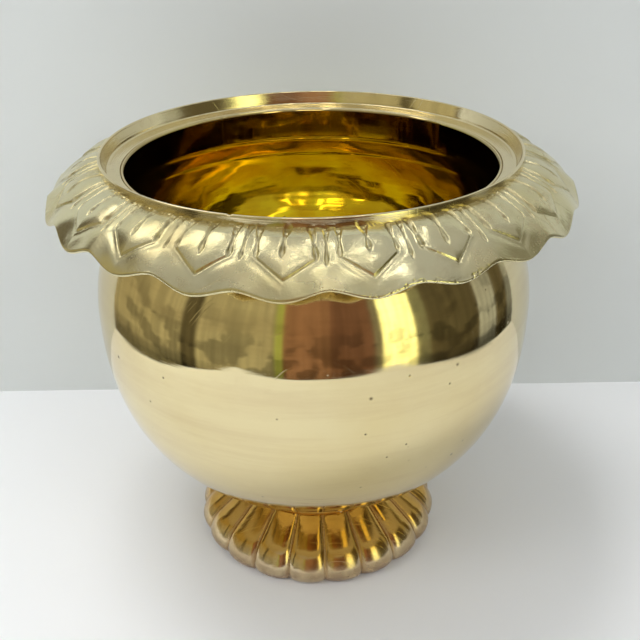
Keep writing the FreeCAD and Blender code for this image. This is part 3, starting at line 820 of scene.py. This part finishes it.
def room():
    """The studio's dim side: upright panels with soft dark patches, and a window. Only reflections see it."""
    s = Shader("room_dim")
    parts = s.add("ShaderNodeSeparateXYZ", {0: s.place}).outputs
    azimuth = s.math("ARCTAN2", parts[0], s.math("MULTIPLY", parts[1], -1.0))
    spread = math.radians(ROOM_SPREAD)
    ramp = s.add("ShaderNodeValToRGB", {0: s.span(azimuth, -spread, spread)})
    stops = ramp.color_ramp.elements
    stops.remove(stops[1])
    for k, (degrees, color) in enumerate(PANELS):
        at = (degrees + ROOM_SPREAD) / (2 * ROOM_SPREAD)
        stop = stops.new(at) if k else stops[0]
        stop.color = (*color, 1)
        end = PANELS[k + 1][0] - 1.2 if k + 1 < len(PANELS) else ROOM_SPREAD
        stops.new((end + ROOM_SPREAD) / (2 * ROOM_SPREAD)).color = (*color, 1)
    folds = s.span(s.noise(9.0, 3.0, s.scaled((1, 1, 0.03))), 0.35, 0.65, 0.8, 1.15)
    things = s.span(s.noise(1.7, 3.0, s.scaled((1, 1, 1.3)), 0.55), 0.50, 0.54, 0.0, 0.45)
    things = s.math("MULTIPLY", things, s.span(parts[2], 1.1, 0.1))
    folds = s.math("MULTIPLY", folds, s.math("SUBTRACT", 1.0, things))
    shade = s.math("MULTIPLY", folds, s.span(parts[2], -0.65, -0.35, 0.35, 1.0))
    surface = s.add("ShaderNodeEmission", {"Color": ramp.outputs[0], "Strength": shade}).outputs[0]
    s.tree.links.new(surface, s.output.inputs[0])

    columns, low, high = 61, -1.2, 1.75
    corners, faces = [], []
    for i in range(columns):
        a = math.radians(-ROOM_SPREAD + 2 * ROOM_SPREAD * i / (columns - 1))
        for z in (low, high):
            corners.append((ROOM_RADIUS * math.sin(a), -ROOM_RADIUS * math.cos(a), z))
        if i:
            faces.append((2 * i - 2, 2 * i, 2 * i + 1, 2 * i - 1))
    mesh = bpy.data.meshes.new("room")
    mesh.from_pydata(corners, [], faces)
    mesh.materials.append(s.material)
    band = bpy.data.objects.new("room", mesh)
    bpy.context.collection.objects.link(band)
    band.visible_camera = False
    band.visible_diffuse = False
    band.visible_shadow = False


def area(name, place, target, size, power, color=(1, 1, 1)):
    light = bpy.data.lights.new(name, "AREA")
    light.shape = "RECTANGLE"
    light.size, light.size_y = size
    light.energy = power
    light.color = color
    lamp = bpy.data.objects.new(name, light)
    lamp.location = place
    lamp.rotation_euler = (Vector(target) - Vector(place)).to_track_quat("-Z", "Y").to_euler()
    bpy.context.collection.objects.link(lamp)
    return lamp


def glowing_card(name, corners, color, strength):
    """A glowing card that only reflections see."""
    card = plane(name, corners, glow(name, color, strength))
    card.visible_camera = False
    card.visible_diffuse = False
    card.visible_shadow = False


def lamp_card(name, x, y, z, half_x, half_y, strength):
    corners = [(x - half_x, y - half_y, z), (x + half_x, y - half_y, z)]
    corners += [(x + half_x, y + half_y, z), (x - half_x, y + half_y, z)]
    glowing_card(name, corners, (1.0, 0.98, 0.92, 1), strength)


def upright(name, left, right, y, top, material):
    return plane(name, [(left, y, 0), (right, y, 0), (right, y, top), (left, y, top)], material)


def pale_world():
    """Even light from above that fades towards the horizon."""
    world = bpy.data.worlds.new("pale_room")
    world.use_nodes = True
    tree = world.node_tree
    place = tree.nodes.new("ShaderNodeTexCoord")
    parts = tree.nodes.new("ShaderNodeSeparateXYZ")
    fade = tree.nodes.new("ShaderNodeMapRange")
    fade.interpolation_type = "SMOOTHSTEP"
    for key, value in {"From Min": 0.1, "From Max": 0.9, "To Min": 0.34, "To Max": 0.68}.items():
        fade.inputs[key].default_value = value
    background = tree.nodes["Background"]
    background.inputs[0].default_value = (0.79, 0.80, 0.81, 1)
    tree.links.new(place.outputs["Generated"], parts.inputs[0])
    tree.links.new(parts.outputs[2], fade.inputs["Value"])
    tree.links.new(fade.outputs[0], background.inputs[1])
    bpy.context.scene.world = world


# Level glowing cards overhead: name, middle (x, y, z), half width, half depth and strength.
LAMP_CARDS = [
    ("panel_left", -0.80, 0.36, 1.4, 0.40, 0.30, 2.4),
    ("lamp_1", -0.16, -0.30, 1.6, 0.05, 0.16, 5),
    ("lamp_2", 0.14, -0.12, 1.5, 0.07, 0.07, 5),
    ("lamp_3", 0.42, -0.42, 1.5, 0.08, 0.08, 6),
    ("lamp_4", -0.42, 0.16, 1.6, 0.10, 0.06, 5),
    ("lamp_5", 0.34, 0.20, 1.6, 0.07, 0.07, 7),
    ("lamp_6", 0.02, -0.75, 1.6, 0.16, 0.06, 5),
]
FLOOR_Z = -0.2 * MM


def build_stage():
    white = matte("table_white", (0.90, 0.91, 0.92, 1))
    left, right, front = TABLE
    plane("table", [(left, front, 0), (right, front, 0), (right, WALL_Y, 0), (left, WALL_Y, 0)], white)
    floor = plane("floor", [(x, y, FLOOR_Z) for x, y in ((-6, -6), (6, -6), (6, 6), (-6, 6))], white)
    floor.visible_glossy = False
    grey = matte("wall_grey", (0.83, 0.86, 0.84, 1), see_through_back=True)
    upright("wall_near", left, right, WALL_Y, 0.6, grey)
    wall = upright("wall", -1.5, 1.5, WALL_Y + 0.001, 1.1, grey)
    wall.visible_glossy = False
    room()
    dim_side = [(-1.2, 0.2, 0.4), (-0.7, 1.2, 0.4), (-0.7, 1.2, 1.0), (-1.2, 0.2, 1.0)]
    glowing_card("dark_left", dim_side, (0.5, 0.4, 0.25, 1), 0.25)
    for card in LAMP_CARDS:
        lamp_card(*card)

    key = area("key", (-0.30, 0.06, 1.5), (0, 0, 0.1), (0.45, 0.45), 8.5)
    ceiling = area("ceiling", (0.0, -0.6, 2.2), (0, -0.6, 0), (3.0, 3.0), 3)
    fill = area("fill_wall", (-0.9, -0.6, 0.9), (-0.3, 0.13, 0.3), (0.6, 0.6), 4)
    fill_right = area("fill_right", (0.75, -0.95, 0.9), (0.05, -0.1, 0), (0.6, 0.6), 2.5)
    for lamp in (key, ceiling, fill, fill_right):
        lamp.visible_glossy = False
    pale_world()
    bpy.context.scene.view_settings.view_transform = "Standard"


CAMERA_PLACE = (0.00284, -0.41679, 0.33723)
CAMERA_PITCH, CAMERA_ROLL = 0.481, -0.015  # radians, down from level and about the line of sight
CAMERA_LENS = 52.04  # millimetres, on a sensor 36 wide


def build_camera():
    """The camera at the photograph's viewing angle: in front, raised, and looking 27.6 degrees down."""
    lens = bpy.data.cameras.new("camera")
    lens.sensor_width = 36
    lens.lens = CAMERA_LENS
    lens.clip_start = 0.02
    camera = bpy.data.objects.new("camera", lens)
    bpy.context.collection.objects.link(camera)
    tilt = Matrix.Rotation(math.pi / 2 - CAMERA_PITCH, 4, "X")
    roll = Matrix.Rotation(CAMERA_ROLL, 4, "Z")
    camera.matrix_world = Matrix.Translation(CAMERA_PLACE) @ tilt @ roll
    bpy.context.scene.camera = camera


build_pot()
build_stage()
build_camera()
